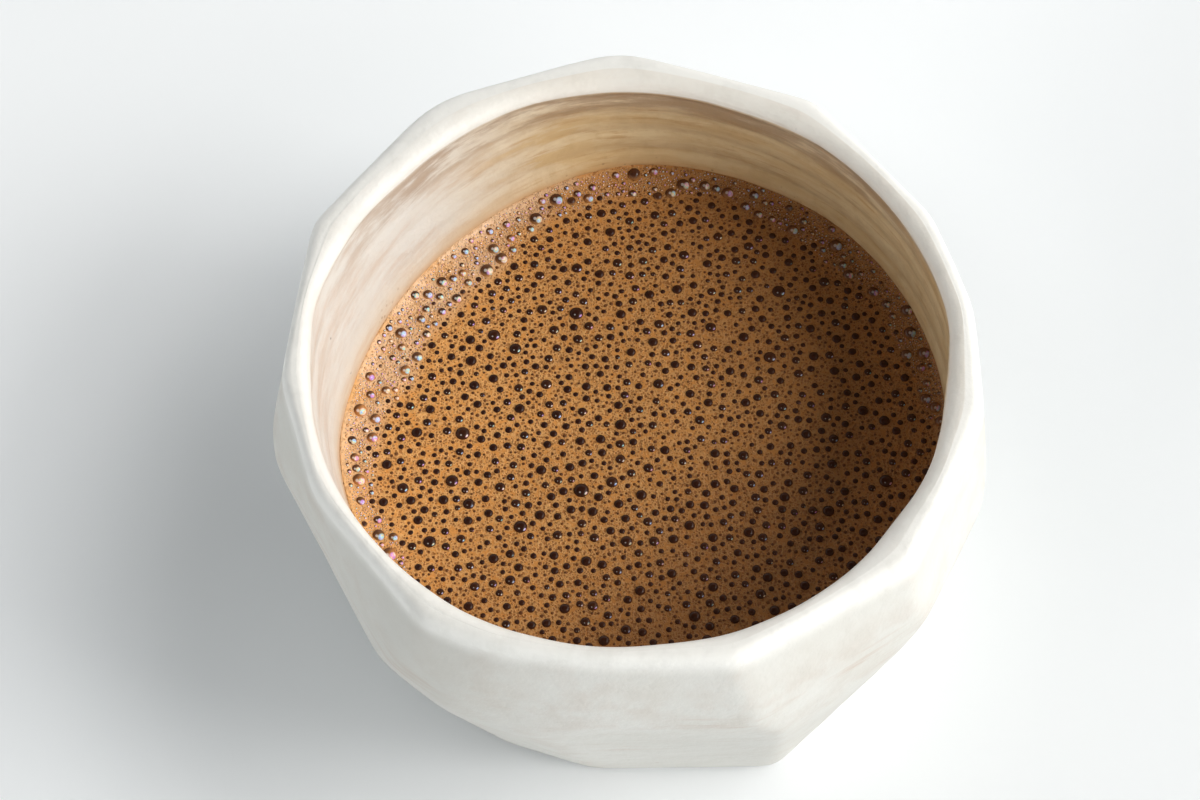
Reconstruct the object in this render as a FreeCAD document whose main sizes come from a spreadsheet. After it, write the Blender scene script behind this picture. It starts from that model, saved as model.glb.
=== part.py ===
# Hand-cut stoneware cup filled with a frothed latte, in millimetres, +Z up.
# The origin lies on the table, on the axis that the cup was thrown about.
# The cup is made as a potter makes it: a thick round blank is thrown, three tiers of flat
# facets are sliced off its outside with a wire, and the inside keeps its finger rings and
# one side that was pressed in while it was soft.
import FreeCAD, Part
import math
import os
import Sketcher

# Driving sizes: name, value, meaning.
SIZES = [
    ("cup_height", 64.0, "table to the crest of the lip"),
    ("mouth_radius", 40.0, "inner wall at the lip"),
    ("foot_radius", 32.0, "nominal foot, which the lower facets stand off from"),
    ("floor_thickness", 7.0, "table to the inner floor"),
    ("floor_round", 14.0, "inner corner between floor and wall"),
    ("belly_drop", 9.0, "lip to the widest ring of the inner wall"),
    ("wall_sweep", 60.0, "radius of the inner wall's upright curve"),
    ("wall_flare", 4.3, "waist beyond the mouth that the inner taper runs parallel to"),
    ("lip_round_in", 2.6, "inner half of the lip"),
    ("lip_round_out", 5.0, "outer half of the lip"),
    ("lip_crest", 2.3, "inner wall to the crest of the lip"),
    ("lip_slice_drop", 1.5, "lip to the height where the upper slices are measured"),
    ("shoulder_drop", 15.0, "lip to the lower measure of the upper slices"),
    ("waist_drop", 18.0, "lip to the upper measure of the lower slices"),
    ("blank_wall", 8.2, "thrown blank beyond the inner mouth at its belly"),
    ("blank_foot", 5.0, "thrown blank beyond the nominal foot"),
    ("ring_depth", 0.3, "depth of a finger ring"),
    ("ring_round", 2.2, "section radius of a finger ring"),
    ("ring_pitch", 4.1, "rise from one finger ring to the next"),
    ("ring_drop", 3.9, "lip to the highest finger ring"),
    ("press_turn", 143.0, "turn of the side where the wall was pressed in below the lip"),
    ("press_offset", 14.0, "axis of the cup to the axis of the pressed side"),
    ("press_lip", 0.8, "pressed side outside the mouth radius, at the lip"),
    ("press_foot", -6.9, "pressed side outside the foot radius, on the table"),
    ("fill_drop", 19.7, "lip to the top of the froth"),
    ("froth_thickness", 3.0, "froth above the liquid"),
    ("meniscus_rise", 0.9, "climb of the froth up the wall"),
    ("meniscus_reach", 2.2, "width of the climbing edge"),
]
RING_COUNT = 4
REACH = 150.0      # a slice is this long and wide, well past the blank
OVERRUN = 6.0      # how far the hollow runs out above the lip
PAST_WALL = 5.0    # how far the layers of the drink are drawn past the wall that trims them

# Sketcher's numbers for the points of an edge and for the axes.
START, END, CENTRE = 1, 2, 3
ORIGIN = GROUND = -1
AXIS = -2

# Upper slices: turn about the axis, then how far the slice lies outside the mouth radius
# at the lip and at the shoulder.
UPPER = [
    (1, 2.9, 5.0), (17, 2.8, 4.7), (39, 2.7, 4.6), (72, 4.0, 5.4),
    (109, 5.2, 6.4), (143, 4.8, 6.5), (174, 3.4, 6.5), (198, 3.2, 7.3),
    (219, 3.0, 6.6), (246, 4.4, 7.2), (261, 3.0, 5.4), (270, 2.6, 4.9),
    (300, 2.7, 6.1), (335, 2.8, 5.7),
]
# Middle slices run upright: turn, then distance outside the mouth radius.
MIDDLE = [
    (25, 5.2), (57, 5.5), (92, 6.5), (127, 6.5), (160, 7.5), (186, 7.0), (211, 4.4),
    (234, 7.0), (259, 5.1), (271, 4.4), (302, 5.2), (331, 6.8), (356, 5.6),
]
# Lower slices: turn, distance outside the mouth radius at the waist, and outside the
# nominal foot on the table.
LOWER = [
    (5, 5.8, 1.5), (42, 5.8, 1.5), (78, 5.8, 1.5), (112, 6.7, 1.5), (145, 6.7, 1.5),
    (175, 6.7, 1.5), (205, 5.3, 1.0), (230, 7.5, 1.4), (252, 6.7, 0.2), (271, 4.2, -0.1),
    (305, 6.3, 5.4), (332, 6.1, 0.9),
]

doc = FreeCAD.newDocument("latte")
sheet = doc.addObject("Spreadsheet::Sheet", "Sizes")


def write_cell(row, name, value, note):
    sheet.set(f"A{row}", note)
    sheet.set(f"B{row}", str(value))
    sheet.setAlias(f"B{row}", name)


def write_sheet():
    """Put every driving size, and each slice's own three numbers, in a named cell."""
    rows = list(SIZES)
    for tier, cuts, columns in (
        ("upper", UPPER, ("turn", "top", "bottom")),
        ("middle", MIDDLE, ("turn", "out")),
        ("lower", LOWER, ("turn", "top", "bottom")),
    ):
        for number, cut in enumerate(cuts, 1):
            for column, value in zip(columns, cut):
                rows.append((f"{tier}_{column}_{number}", value, f"{tier} slice {number}: {column}"))
    for row, (name, value, note) in enumerate(rows, 1):
        write_cell(row, name, value, note)
    doc.recompute()


def size(name):
    return float(sheet.get(name))


def bind(thing, **expressions):
    for name, expression in expressions.items():
        thing.setExpression(name, expression)


def plane_of(body, role):
    return next(item for item in body.Origin.OriginFeatures if item.Role == role)


def upright_sketch(body, name):
    """A sketch on the upright plane: its x is the radius and its y is the height."""
    sketch = body.newObject("Sketcher::SketchObject", name)
    sketch.AttachmentSupport = (plane_of(body, "XZ_Plane"), [""])
    sketch.MapMode = "FlatFace"
    return sketch


def hold(sketch, kind, *places, to=None):
    """Add one constraint; a size is bound to an expression over the sheet."""
    if to is None:
        sketch.addConstraint(Sketcher.Constraint(kind, *places))
        return
    value = sketch.evalExpression(to)
    value = getattr(value, "Value", value)
    if kind == "Angle":
        value = math.radians(value)
    index = sketch.addConstraint(Sketcher.Constraint(kind, *places, value))
    sketch.setExpression(f"Constraints[{index}]", to)


def place_point(sketch, edge, end, x, y):
    """Fix one end of an edge at a radius and a height."""
    for kind, distance in (("DistanceX", x), ("DistanceY", y)):
        if distance == "0":
            hold(sketch, "PointOnObject", edge, end, AXIS if kind == "DistanceX" else GROUND)
        else:
            hold(sketch, kind, ORIGIN, START, edge, end, to=distance)


def line(x0, y0, x1, y1):
    return Part.LineSegment(FreeCAD.Vector(x0, y0), FreeCAD.Vector(x1, y1))


def arc(x, y, radius, first, last):
    """An anticlockwise arc about (x, y) between two angles in degrees."""
    circle = Part.Circle(FreeCAD.Vector(x, y), FreeCAD.Vector(0, 0, 1), radius)
    return Part.ArcOfCircle(circle, math.radians(first), math.radians(last))


def close_loop(sketch, edges, smooth=()):
    """Draw the edges and join each to the next, the last to the first. The edges named
    in smooth flow into the next one without a corner."""
    sketch.addGeometry(edges)
    for edge in range(len(edges)):
        kind = "Tangent" if edge in smooth else "Coincident"
        hold(sketch, kind, edge, END, (edge + 1) % len(edges), START)


def revolve(body, sketch):
    turned = body.newObject("PartDesign::Revolution", body.Name + "Turned")
    turned.Profile = sketch
    turned.ReferenceAxis = (sketch, ["V_Axis"])
    turned.Angle = 360
    return body


def make_blank():
    """The thrown blank: a thick flared block with a rounded lip, before it is hollowed."""
    body = doc.addObject("PartDesign::Body", "Blank")
    sketch = upright_sketch(body, "BlankOutline")
    foot, wall = size("foot_radius") + size("blank_foot"), size("mouth_radius") + size("blank_wall")
    top, crest = size("cup_height"), size("mouth_radius") + size("lip_crest")
    shoulder = top - size("shoulder_drop")
    outer, inner = size("lip_round_out"), size("lip_round_in")
    close_loop(sketch, [
        line(0, 0, foot, 0),
        line(foot, 0, wall, shoulder),
        line(wall, shoulder, crest + outer, top - outer),
        arc(crest, top - outer, outer, 0, 90),
        arc(crest, top - inner, inner, 90, 180),
        line(crest - inner, top - inner, 0, top - inner),
        line(0, top - inner, 0, 0),
    ])
    place_point(sketch, 0, START, "0", "0")
    place_point(sketch, 0, END, "Sizes.foot_radius + Sizes.blank_foot", "0")
    place_point(sketch, 1, END, "Sizes.mouth_radius + Sizes.blank_wall",
                "Sizes.cup_height - Sizes.shoulder_drop")
    for lip in ("out", "in"):
        edge = 3 if lip == "out" else 4
        place_point(sketch, edge, CENTRE, "Sizes.mouth_radius + Sizes.lip_crest",
                    f"Sizes.cup_height - Sizes.lip_round_{lip}")
    hold(sketch, "Radius", 3, to="Sizes.lip_round_out")
    hold(sketch, "Horizontal", 3, CENTRE, 3, START)
    hold(sketch, "Vertical", 3, CENTRE, 3, END)
    hold(sketch, "Horizontal", 4, CENTRE, 4, END)
    hold(sketch, "Horizontal", 5)
    hold(sketch, "PointOnObject", 6, START, AXIS)
    return revolve(body, sketch)


def make_slice(name, turn, out_top, z_top, out_bottom, z_bottom):
    """A big box whose one face is the slice: everything outside that face is cut away.
    The face passes through two distances from the axis at two heights."""
    box = doc.addObject("Part::Box", name)
    box.Length, box.Width, box.Height = REACH, REACH, REACH
    lean = f"atan((({out_bottom}) - ({out_top})) / (({z_top}) - ({z_bottom})))"
    foot = f"vector(({out_top}) * cos({turn}); ({out_top}) * sin({turn}); {z_top})"
    inward = f"vector({-REACH}; {-REACH / 2}; {-REACH / 2})"
    bind(box, Placement=f"placement({foot}; rotation({turn}; -{lean}; 0))"
                        f" * placement({inward}; rotation(0; 0; 0))")
    return box


def make_slices():
    """All three tiers of slices, each measured from the mouth or the foot."""
    shoulder = "Sizes.cup_height - Sizes.shoulder_drop"
    waist = "Sizes.cup_height - Sizes.waist_drop"
    slices = []
    for n in range(1, len(UPPER) + 1):
        slices.append(make_slice(
            f"UpperSlice{n}", f"Sizes.upper_turn_{n}",
            f"Sizes.mouth_radius + Sizes.upper_top_{n}", "Sizes.cup_height - Sizes.lip_slice_drop",
            f"Sizes.mouth_radius + Sizes.upper_bottom_{n}", shoulder))
    for n in range(1, len(MIDDLE) + 1):
        out = f"Sizes.mouth_radius + Sizes.middle_out_{n}"
        slices.append(make_slice(
            f"MiddleSlice{n}", f"Sizes.middle_turn_{n}", out, shoulder, out, waist))
    for n in range(1, len(LOWER) + 1):
        slices.append(make_slice(
            f"LowerSlice{n}", f"Sizes.lower_turn_{n}",
            f"Sizes.mouth_radius + Sizes.lower_top_{n}", waist,
            f"Sizes.foot_radius + Sizes.lower_bottom_{n}", "0"))
    return slices


def make_hollow():
    """The inside as a solid: floor, round corner, tapered wall and the upright curve
    that bellies out below the lip. The taper follows the mean of the lower slices."""
    body = doc.addObject("PartDesign::Body", "Hollow")
    sketch = upright_sketch(body, "HollowOutline")
    waist = size("cup_height") - size("waist_drop")
    taper = math.atan((size("mouth_radius") + size("wall_flare") - size("foot_radius")) / waist)
    sweep, corner = size("wall_sweep"), size("floor_round")
    belly, top = size("cup_height") - size("belly_drop"), size("cup_height")
    centre = size("mouth_radius") - math.sqrt(sweep ** 2 - size("belly_drop") ** 2)
    floor, over = size("floor_thickness"), top + OVERRUN
    turn_x, turn_y = centre + sweep * math.cos(taper), belly - sweep * math.sin(taper)
    drop = turn_y - (floor + corner - corner * math.sin(taper))
    low_x, low_y = turn_x - drop * math.tan(taper), turn_y - drop
    flat = low_x - corner * math.cos(taper)
    mouth = size("mouth_radius")
    lean = math.degrees(taper)
    close_loop(sketch, [
        line(0, floor, flat, floor),
        arc(flat, floor + corner, corner, -90, -lean),
        line(low_x, low_y, turn_x, turn_y),
        arc(centre, belly, sweep, -lean, math.degrees(math.asin(size("belly_drop") / sweep))),
        line(mouth, top, mouth, over),
        line(mouth, over, 0, over),
        line(0, over, 0, floor),
    ], smooth=(0, 1, 2))
    hold(sketch, "PointOnObject", 0, START, AXIS)
    hold(sketch, "PointOnObject", 6, START, AXIS)
    hold(sketch, "DistanceY", ORIGIN, START, 0, START, to="Sizes.floor_thickness")
    hold(sketch, "Horizontal", 0)
    hold(sketch, "Radius", 1, to="Sizes.floor_round")
    hold(sketch, "Angle", 2, to="90 deg - atan((Sizes.mouth_radius + Sizes.wall_flare"
         " - Sizes.foot_radius) / (Sizes.cup_height - Sizes.waist_drop))")
    hold(sketch, "Radius", 3, to="Sizes.wall_sweep")
    hold(sketch, "DistanceY", ORIGIN, START, 3, CENTRE, to="Sizes.cup_height - Sizes.belly_drop")
    place_point(sketch, 3, END, "Sizes.mouth_radius", "Sizes.cup_height")
    hold(sketch, "Vertical", 4)
    hold(sketch, "DistanceY", 4, START, 4, END, to=f"{OVERRUN}")
    hold(sketch, "Horizontal", 5)
    return revolve(body, sketch)


def wall_radius(height):
    """The inner wall's radius at a height on its upright curve, as an expression."""
    return (f"Sizes.mouth_radius - sqrt(pow(Sizes.wall_sweep; 2) - pow(Sizes.belly_drop; 2))"
            f" + sqrt(pow(Sizes.wall_sweep; 2)"
            f" - pow(({height}) - Sizes.cup_height + Sizes.belly_drop; 2))")


def make_rings():
    """The shallow grooves that the potter's fingers left, one torus for each."""
    rings = []
    for n in range(RING_COUNT):
        height = f"Sizes.cup_height - Sizes.ring_drop - {n} * Sizes.ring_pitch"
        ring = doc.addObject("Part::Torus", f"FingerRing{n + 1}")
        bind(ring, Radius1=f"{wall_radius(height)} + Sizes.ring_depth - Sizes.ring_round",
             Radius2="Sizes.ring_round")
        ring.setExpression("Placement.Base.z", height)
        rings.append(ring)
    return rings


def make_pressed_side():
    """The cone that flattens one side of the hollow, where a thumb pressed the soft wall
    in. It is wider than the hollow and stands off its axis, so it trims that side alone."""
    cone = doc.addObject("Part::Cone", "PressedSide")
    foot = "Sizes.foot_radius + Sizes.press_foot + Sizes.press_offset"
    lip = "Sizes.mouth_radius + Sizes.press_lip + Sizes.press_offset"
    height = f"(Sizes.cup_height + {OVERRUN})"
    bind(cone, Height=height, Radius1=foot,
         Radius2=f"{foot} + (({lip}) - ({foot})) * {height} / Sizes.cup_height")
    cone.setExpression("Placement.Base.x", "-Sizes.press_offset * cos(Sizes.press_turn)")
    cone.setExpression("Placement.Base.y", "-Sizes.press_offset * sin(Sizes.press_turn)")
    return cone


def make_froth_layer():
    """A flat layer whose rim turns up where it meets the wall."""
    body = doc.addObject("PartDesign::Body", "FrothLayer")
    sketch = upright_sketch(body, "FrothOutline")
    surface = "Sizes.cup_height - Sizes.fill_drop"
    edge = wall_radius(surface)
    reach, rise = size("meniscus_reach"), size("meniscus_rise")
    top_z = size("cup_height") - size("fill_drop")
    base_z = top_z - size("froth_thickness")
    bend = (reach ** 2 + rise ** 2) / (2 * rise)
    end = math.degrees(math.asin(reach / bend)) - 90
    inner = sketch.evalExpression(edge) - reach
    past = inner + reach + PAST_WALL
    close_loop(sketch, [
        line(0, top_z, inner, top_z),
        arc(inner, top_z + bend, bend, -90, end),
        line(inner + reach, top_z + rise, past, top_z + rise),
        line(past, top_z + rise, past, base_z),
        line(past, base_z, 0, base_z),
        line(0, base_z, 0, top_z),
    ], smooth=(0,))
    place_point(sketch, 0, START, "0", surface)
    place_point(sketch, 0, END, f"{edge} - Sizes.meniscus_reach", surface)
    place_point(sketch, 1, END, edge, f"{surface} + Sizes.meniscus_rise")
    hold(sketch, "Horizontal", 2)
    hold(sketch, "DistanceX", 2, START, 2, END, to=f"{PAST_WALL}")
    hold(sketch, "Vertical", 3)
    hold(sketch, "DistanceY", 4, START, 0, START, to="Sizes.froth_thickness")
    hold(sketch, "Horizontal", 4)
    hold(sketch, "PointOnObject", 4, END, AXIS)
    return revolve(body, sketch)


def make_cup(hollow, pressed):
    """Slice the blank on every side, then take out the hollow with its finger rings. The
    rings are trimmed with it, so they fade out where the wall is pressed in."""
    sliced = doc.addObject("Part::MultiCommon", "SlicedBlank")
    sliced.Shapes = [make_blank()] + make_slices()
    ringed = doc.addObject("Part::MultiFuse", "RingedHollow")
    ringed.Shapes = [hollow] + make_rings()
    inside = doc.addObject("Part::MultiCommon", "Inside")
    inside.Shapes = [ringed, pressed]
    cup = doc.addObject("Part::Cut", "Cup")
    cup.Base, cup.Tool = sliced, inside
    cup.Label = "cup"
    return cup


def make_latte(hollow, pressed):
    """The liquid: the hollow's shape up to the underside of the froth."""
    level = doc.addObject("Part::Cylinder", "LiquidLevel")
    bind(level, Radius=f"Sizes.mouth_radius + {PAST_WALL}",
         Height="Sizes.cup_height - Sizes.fill_drop - Sizes.froth_thickness")
    latte = doc.addObject("Part::MultiCommon", "Latte")
    latte.Shapes = [hollow, pressed, level]
    latte.Label = "latte"
    return latte


def make_foam(hollow, pressed):
    """The froth that floats on the liquid, trimmed by the same wall."""
    foam = doc.addObject("Part::MultiCommon", "Foam")
    foam.Shapes = [hollow, pressed, make_froth_layer()]
    foam.Label = "foam"
    return foam


def check(parts):
    """Stop unless every object computed and every part is one valid solid."""
    for thing in doc.Objects:
        if "Invalid" in thing.State or "Error" in thing.State:
            raise SystemExit(f"{thing.Name} did not compute: {thing.State}")
    for part in parts:
        shape = part.Shape
        if shape.isNull() or not shape.isValid() or len(shape.Solids) != 1:
            raise SystemExit(f"{part.Label} is not one valid solid")
        box = shape.optimalBoundingBox(False, False)
        print(f"{part.Label}: {shape.Volume / 1000:.1f} cm3, {len(shape.Faces)} faces, "
              f"{box.XLength:.1f} x {box.YLength:.1f} x {box.ZLength:.1f} mm")


write_sheet()
hollow, pressed = make_hollow(), make_pressed_side()
parts = [make_cup(hollow, pressed), make_latte(hollow, pressed), make_foam(hollow, pressed)]
doc.recompute()
check(parts)
os.makedirs("parts", exist_ok=True)
for part in parts:
    part.Shape.exportStep(f"parts/{part.Label}.step")
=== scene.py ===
# %% [markdown]
# # A frothed latte in a hand-cut cup
# The cup is thrown on a wheel as a thick round blank, and a wire then slices flat facets off
# its outside. Inside it keeps the potter's finger rings and the stains of earlier drinks. The
# latte carries a tan froth, pierced by thousands of round, dark bubbles. This script builds
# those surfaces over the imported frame, one piece after another, and ends with light and camera.

# %% Load the frame
import math
import random
import bpy
import numpy as np
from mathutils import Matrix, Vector
from mathutils import noise as field


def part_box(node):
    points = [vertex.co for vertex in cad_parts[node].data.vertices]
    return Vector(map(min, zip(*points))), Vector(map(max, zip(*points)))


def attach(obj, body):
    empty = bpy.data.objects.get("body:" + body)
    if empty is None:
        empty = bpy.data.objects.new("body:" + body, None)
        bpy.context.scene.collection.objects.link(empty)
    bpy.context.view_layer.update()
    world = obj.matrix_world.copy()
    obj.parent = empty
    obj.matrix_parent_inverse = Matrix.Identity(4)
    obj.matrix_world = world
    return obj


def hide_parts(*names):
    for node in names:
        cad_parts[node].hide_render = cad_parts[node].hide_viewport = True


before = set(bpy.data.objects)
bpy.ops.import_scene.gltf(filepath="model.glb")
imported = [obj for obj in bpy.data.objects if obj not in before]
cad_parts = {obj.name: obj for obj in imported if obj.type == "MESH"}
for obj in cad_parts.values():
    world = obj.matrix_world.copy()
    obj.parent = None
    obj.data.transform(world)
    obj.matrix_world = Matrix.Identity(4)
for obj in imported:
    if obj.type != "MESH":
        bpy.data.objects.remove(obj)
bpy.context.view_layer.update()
print("nodes in the frame:", sorted(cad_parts))

# %% [markdown]
# ## Sizes
# Shapes are worked out in millimetres, as the potter would measure them, and turned into
# metres once, when a mesh is made. Finishes read places in metres, as the shader gives them.
# The heights that other pieces depend on come from the frame's own boxes, so the looks can't
# drift away from the solids.

# %% Sizes taken from the frame, in millimetres
MM = 0.001
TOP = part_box("cup")[1][2] / MM                # crest of the lip
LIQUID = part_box("foam")[0][2] / MM            # underside of the froth
MENISCUS_RISE = 0.9                           # how far the froth climbs its wall
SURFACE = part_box("foam")[1][2] / MM - MENISCUS_RISE
MOUTH = 40.0                                  # inner radius at the lip
FOOT = 32.0                                   # outer radius at the table
print(f"lip {TOP:.1f} mm, froth {SURFACE:.1f} mm, liquid {LIQUID:.1f} mm above the table")

# %% [markdown]
# ## Slices
# A slice is a flat cut. It is given by the way that it faces, in degrees about the axis, and
# by how far it stands from the axis at two heights. The first tier runs below the lip, the
# second is an upright band at the shoulder, and the third tapers down to the foot. Each row
# holds the angle and the clay left outside the mouth's radius at the tier's top and bottom.
# The third tier's last number is the clay outside the foot's radius.

# %% The three tiers of slices
UPPER = [
    (1, 2.9, 5.0), (17, 2.8, 4.7), (39, 2.7, 4.6), (72, 4.0, 5.4),
    (109, 5.2, 6.4), (143, 4.8, 6.5), (174, 3.4, 6.5), (198, 3.2, 7.3),
    (219, 3.0, 6.6), (246, 4.4, 7.2), (261, 3.0, 5.4), (270, 2.6, 4.9),
    (300, 2.7, 6.1), (335, 2.8, 5.7),
]
MIDDLE = [
    (25, 5.2), (57, 5.5), (92, 6.5), (127, 6.5), (160, 7.5), (186, 7.0), (211, 4.4),
    (234, 7.0), (259, 5.1), (271, 4.4), (302, 5.2), (331, 6.8), (356, 5.6),
]
LOWER = [
    (5, 5.8, 1.5), (42, 5.8, 1.5), (78, 5.8, 1.5), (112, 6.7, 1.5), (145, 6.7, 1.5),
    (175, 6.7, 1.5), (205, 5.3, 1.0), (230, 7.5, 1.4), (252, 6.7, 0.2), (271, 4.2, -0.1),
    (305, 6.3, 5.4), (332, 6.1, 0.9),
]
SLICE_TOP, SHOULDER, WAIST = TOP - 1.5, TOP - 15.0, TOP - 18.0
SLICES = [(turn, MOUTH + a, SLICE_TOP, MOUTH + b, SHOULDER) for turn, a, b in UPPER]
SLICES += [(turn, MOUTH + out, SHOULDER, MOUTH + out, WAIST) for turn, out in MIDDLE]
SLICES += [(turn, MOUTH + a, WAIST, FOOT + b, 0.0) for turn, a, b in LOWER]
print(len(SLICES), "slices")

# %% [markdown]
# ## The cup's outside
# Seen from the axis, each slice gives a distance in every direction, and the wall is the
# nearest of them. A hard minimum would make razor arrises, but clay is wiped with a damp
# sponge. A soft minimum, the logarithm of a sum of exponentials, rounds each arris by a
# fraction of a millimetre and leaves the flats alone. The gap between the two nearest slices
# tells how close a point is to an arris, and the glaze uses that later.

# %% Outer radius in any direction and at any height
ARRIS = 0.33          # softness of an arris
ARRIS_BAND = 0.9      # how far from an arris the glaze runs thin
BLANK_WALL = 8.2      # the thrown blank, which trims the far corners
BLANK_FOOT = 5.0
GRAZING = 0.2         # least cosine at which a slice still counts
FAR_OFF = 200.0       # a distance that no slice reaches


def slice_distances(turn, height):
    """How far each slice lies along the direction turn, in radians, at a height."""
    rows = []
    for facing, out_top, z_top, out_bottom, z_bottom in SLICES:
        out = out_top + (z_top - height) * (out_bottom - out_top) / (z_top - z_bottom)
        across = np.cos(turn - math.radians(facing))
        rows.append(np.where(across > GRAZING, out / np.maximum(across, GRAZING), FAR_OFF))
    blank = FOOT + BLANK_FOOT + (MOUTH + BLANK_WALL - FOOT - BLANK_FOOT) * height / SHOULDER
    rows.append(np.full(turn.shape, min(blank, MOUTH + BLANK_WALL)))
    return np.array(rows)


def outer_wall(turn, height):
    """The softened wall and a mask that is 1 on an arris."""
    reach = slice_distances(turn, height)
    nearest = reach.min(axis=0)
    wall = nearest - ARRIS * np.log(np.exp((nearest - reach) / ARRIS).sum(axis=0))
    first, second = np.sort(reach, axis=0)[:2]
    return wall, np.exp((first - second) / ARRIS_BAND)


# %% [markdown]
# ## The cup's inside
# The inner wall is an arc that is widest a little below the lip. The shallow rings climb as
# a slow spiral, because the potter's finger rises while the clay turns. One side was pressed
# in while the clay was soft: there the wall follows a wide cone that stands off the cup's
# axis, and a soft minimum blends the two. Below the froth the wall only has to close the
# shape, so it needs few points there.

# %% Inner radius
WALL_SWEEP, BELLY_DROP = 60.0, 9.0      # the arc's radius, and its widest place below the lip
RING_DROP, RING_PITCH, RING_DEPTH = 3.9, 4.1, 0.26
RING_FREE = 1.5                         # no ring this close to the lip
RING_FADE_UP, RING_FADE_DOWN = 2.5, 2.0
WOBBLES = ((0.12, 3, 1.1), (0.10, 5, 0.4))      # depth, waves in a turn, start
WOBBLE_FADE = 10.0
PRESS_TURN, PRESS_OFFSET = math.radians(143), 14.0
PRESS_LIP, PRESS_FOOT = 0.8, -6.9       # the cone outside the mouth and the foot
PRESS_BLEND = 0.6
PRESSED_RING = 0.35                     # share of a ring that the pressing left
LEAN_TURN, LEAN_LIP, LEAN_FROTH = math.radians(8), -1.1, 1.0
JUST_ABOVE = 0.01                       # keeps the froth's edge on this part of the wall


def pressed_side(turn, height):
    """Radius of the wide cone that one side of the wall was pressed to."""
    foot, lip = FOOT + PRESS_FOOT, MOUTH + PRESS_LIP
    cone = PRESS_OFFSET + foot + (lip - foot) * height / TOP
    across, along = np.sin(turn - PRESS_TURN), np.cos(turn - PRESS_TURN)
    return np.sqrt(cone ** 2 - (PRESS_OFFSET * across) ** 2) - PRESS_OFFSET * along


def inner_wall(turn, height):
    """Radius of the inner wall above the liquid."""
    centre = MOUTH - math.sqrt(WALL_SWEEP ** 2 - BELLY_DROP ** 2)
    wall = centre + np.sqrt(WALL_SWEEP ** 2 - (height - TOP + BELLY_DROP) ** 2)
    depth = (TOP - height) / (TOP - SURFACE)
    wall = wall + (LEAN_LIP + (LEAN_FROTH - LEAN_LIP) * depth) * np.cos(turn - LEAN_TURN)
    phase = (TOP - RING_DROP - height) / RING_PITCH + turn / (2 * math.pi)
    groove = (0.5 + 0.5 * np.cos(2 * math.pi * phase)) ** 2
    fade = np.clip((TOP - RING_FREE - height) / RING_FADE_UP, 0, 1)
    fade = fade * np.clip((height - SURFACE) / RING_FADE_DOWN, 0, 1)
    ring = RING_DEPTH * groove * fade
    wobble = sum(deep * np.sin(waves * turn + start) for deep, waves, start in WOBBLES)
    wall = wall + ring + wobble * np.clip((height - SURFACE) / WOBBLE_FADE, 0, 1)
    pressed = pressed_side(turn, height) + PRESSED_RING * ring
    nearest = np.minimum(wall, pressed)
    reach = np.stack([wall, pressed])
    return nearest - PRESS_BLEND * np.log(np.exp((nearest - reach) / PRESS_BLEND).sum(axis=0))


# %% [markdown]
# ## From rings of points to a mesh
# The whole cup is one closed grid: it starts in the middle of the underside, runs out and up
# the outside, over the lip and down the inside to the middle of the floor. Each row of the
# grid is one turn about the axis. A small helper makes such a grid into a mesh, with a pole
# at each end, and carries any per-point value along as an attribute.

# %% A helper for closed grids
def grid_mesh(name, points, values):
    """points: rows x columns x 3 in millimetres. The first and last rows are poles."""
    rows, columns = points.shape[:2]
    body = points[1:-1].reshape(-1, 3)
    verts = np.vstack([points[0, :1], body, points[-1, :1]]) * MM
    last = len(verts) - 1
    faces = []
    for column in range(columns):
        after = (column + 1) % columns
        faces.append((0, 1 + after, 1 + column))
        for row in range(rows - 3):
            low, high = 1 + row * columns, 1 + (row + 1) * columns
            faces.append((low + column, low + after, high + after, high + column))
        base = 1 + (rows - 3) * columns
        faces.append((base + column, base + after, last))
    mesh = bpy.data.meshes.new(name)
    mesh.from_pydata(verts.tolist(), [], faces)
    for key, value in values.items():
        flat = np.concatenate([value[0, :1], value[1:-1].ravel(), value[-1, :1]])
        mesh.attributes.new(key, "FLOAT", "POINT").data.foreach_set("value", flat)
    mesh.shade_smooth()
    piece = bpy.data.objects.new(name, mesh)
    bpy.context.collection.objects.link(piece)
    print(f"{name}: {len(mesh.vertices)} points, {len(mesh.polygons)} faces")
    return piece


def ripple(points, scale, seed):
    """Smooth noise from -1 to 1 at each point; scale is the size of a lump in millimetres."""
    shift = Vector((seed, 2 * seed, 3 * seed))
    flat = [field.noise(Vector(p) / scale + shift) for p in points.reshape(-1, 3)]
    return np.array(flat).reshape(points.shape[:-1])


# %% [markdown]
# ## Over the lip
# The lip is as wide as the clay that the slices left. It is two quarter-rounds that meet at
# the crest, squarer on the outside, where the slice begins. Below the froth the hollow is a
# few plain rows that close the shape.

# %% The cup as one grid
TURNS = 440
LIP_FALL = 2.7       # crest to the start of the outer round
LIP_SINK = 1.9       # crest to the end of the inner round
LIP_SQUARE = 0.88    # under 1, the outer round is squarer than a circle
CREST_SHARE = 0.52   # where the crest stands between the inner and the outer wall
FOOT_ROUND = 1.3
OUTSIDE_ROWS, INSIDE_ROWS = 88, 56
BELOW_SURFACE = 2.0  # how far the fine rows run on below the froth

# radius and height of the plain rows that close the hollow
HOLLOW = [(37.0, 36.0), (34.5, 25.0), (31.0, 14.0), (26.0, 8.6), (18.0, 7.0), (8.0, 7.0), (0.0, 7.0)]


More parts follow.
